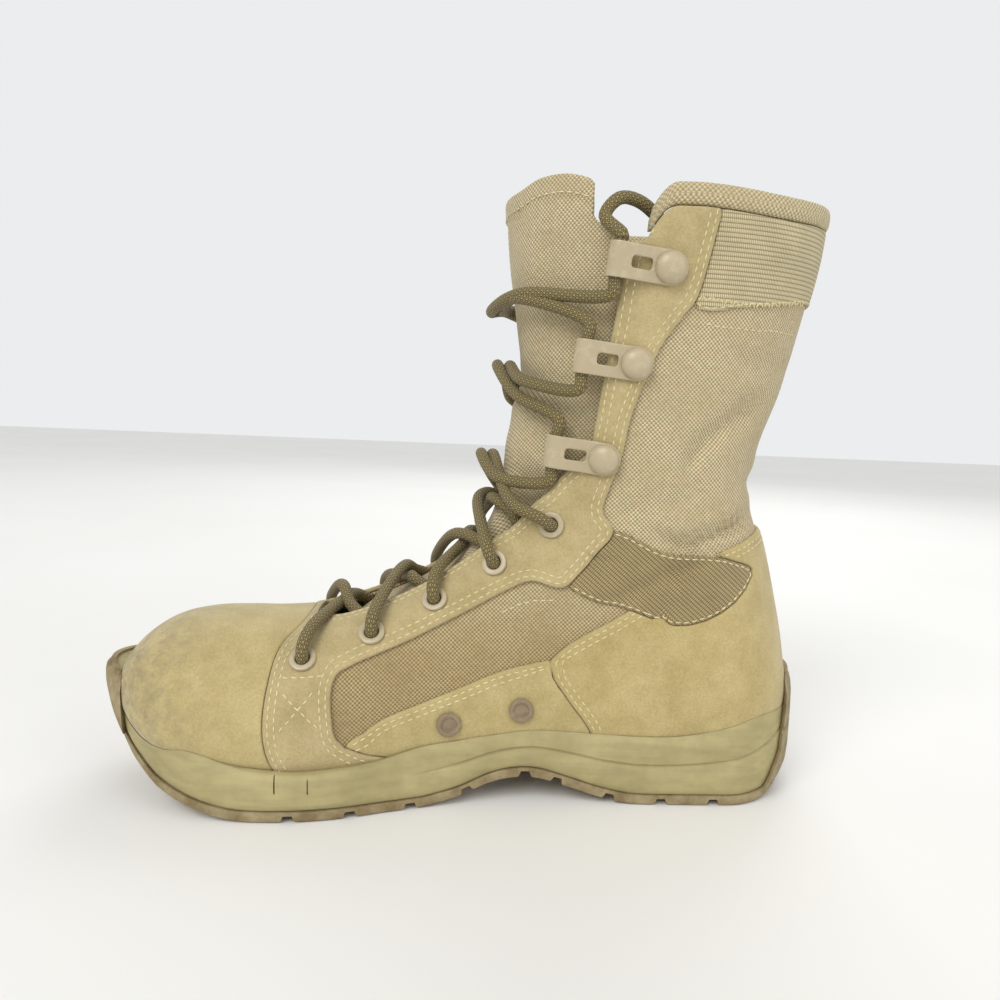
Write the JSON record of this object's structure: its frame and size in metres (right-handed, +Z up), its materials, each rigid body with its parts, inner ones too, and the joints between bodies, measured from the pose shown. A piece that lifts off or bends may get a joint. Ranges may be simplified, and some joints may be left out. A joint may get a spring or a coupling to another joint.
{
  "type": "combat boot",
  "caption": "Laced desert combat boot for the right foot, with a hollow upper open at the collar, a cupped foam midsole and a lugged rubber outsole.",
  "frame": {"origin": "the ground under the middle of the boot's bounding box", "axes": "+Z up, -X towards the toe, -Y towards the inner side of the foot"},
  "size_m": [0.2962, 0.1062, 0.25],
  "materials": {
    "rubber": "matte brown rubber",
    "foam": "olive tan foam with a soft sheen",
    "footbed": "woven footbed cover",
    "nylon": "coarse basket-woven nylon",
    "suede": "rough tan suede",
    "webbing": "ribbed woven webbing",
    "lace_cord": "round braided cord",
    "painted_metal": "tan paint, satin"
  },
  "bodies": {
    "root": {"ankle_strap_inner": "webbing", "ankle_strap_outer": "webbing", "collar_binding": "webbing", "collar_webbing": "webbing", "eyelet_inner_1": "painted_metal", "eyelet_inner_2": "painted_metal", "eyelet_inner_3": "painted_metal", "eyelet_inner_4": "painted_metal", "eyelet_inner_5": "painted_metal", "eyelet_outer_1": "painted_metal", "eyelet_outer_2": "painted_metal", "eyelet_outer_3": "painted_metal", "eyelet_outer_4": "painted_metal", "eyelet_outer_5": "painted_metal", "eyestay_inner": "suede", "eyestay_outer": "suede", "heel_counter": "suede", "hook_inner_1": "painted_metal", "hook_inner_2": "painted_metal", "hook_inner_3": "painted_metal", "hook_outer_1": "painted_metal", "hook_outer_2": "painted_metal", "hook_outer_3": "painted_metal", "insole": "footbed", "lace_crossing_1": "lace_cord", "lace_crossing_2": "lace_cord", "lace_crossing_3": "lace_cord", "lace_crossing_4": "lace_cord", "lace_crossing_5": "lace_cord", "lace_crossing_6": "lace_cord", "lace_crossing_7": "lace_cord", "lace_end_inner": "lace_cord", "lace_end_outer": "lace_cord", "midsole": "foam", "outsole": "rubber", "rand_inner": "suede", "rand_outer": "suede", "rivet_inner_1": "painted_metal", "rivet_inner_2": "painted_metal", "rivet_inner_3": "painted_metal", "rivet_outer_1": "painted_metal", "rivet_outer_2": "painted_metal", "rivet_outer_3": "painted_metal", "tongue": "nylon", "upper": "nylon", "vamp": "suede", "vent_1": "painted_metal", "vent_2": "painted_metal"}
  },
  "joints": []
}
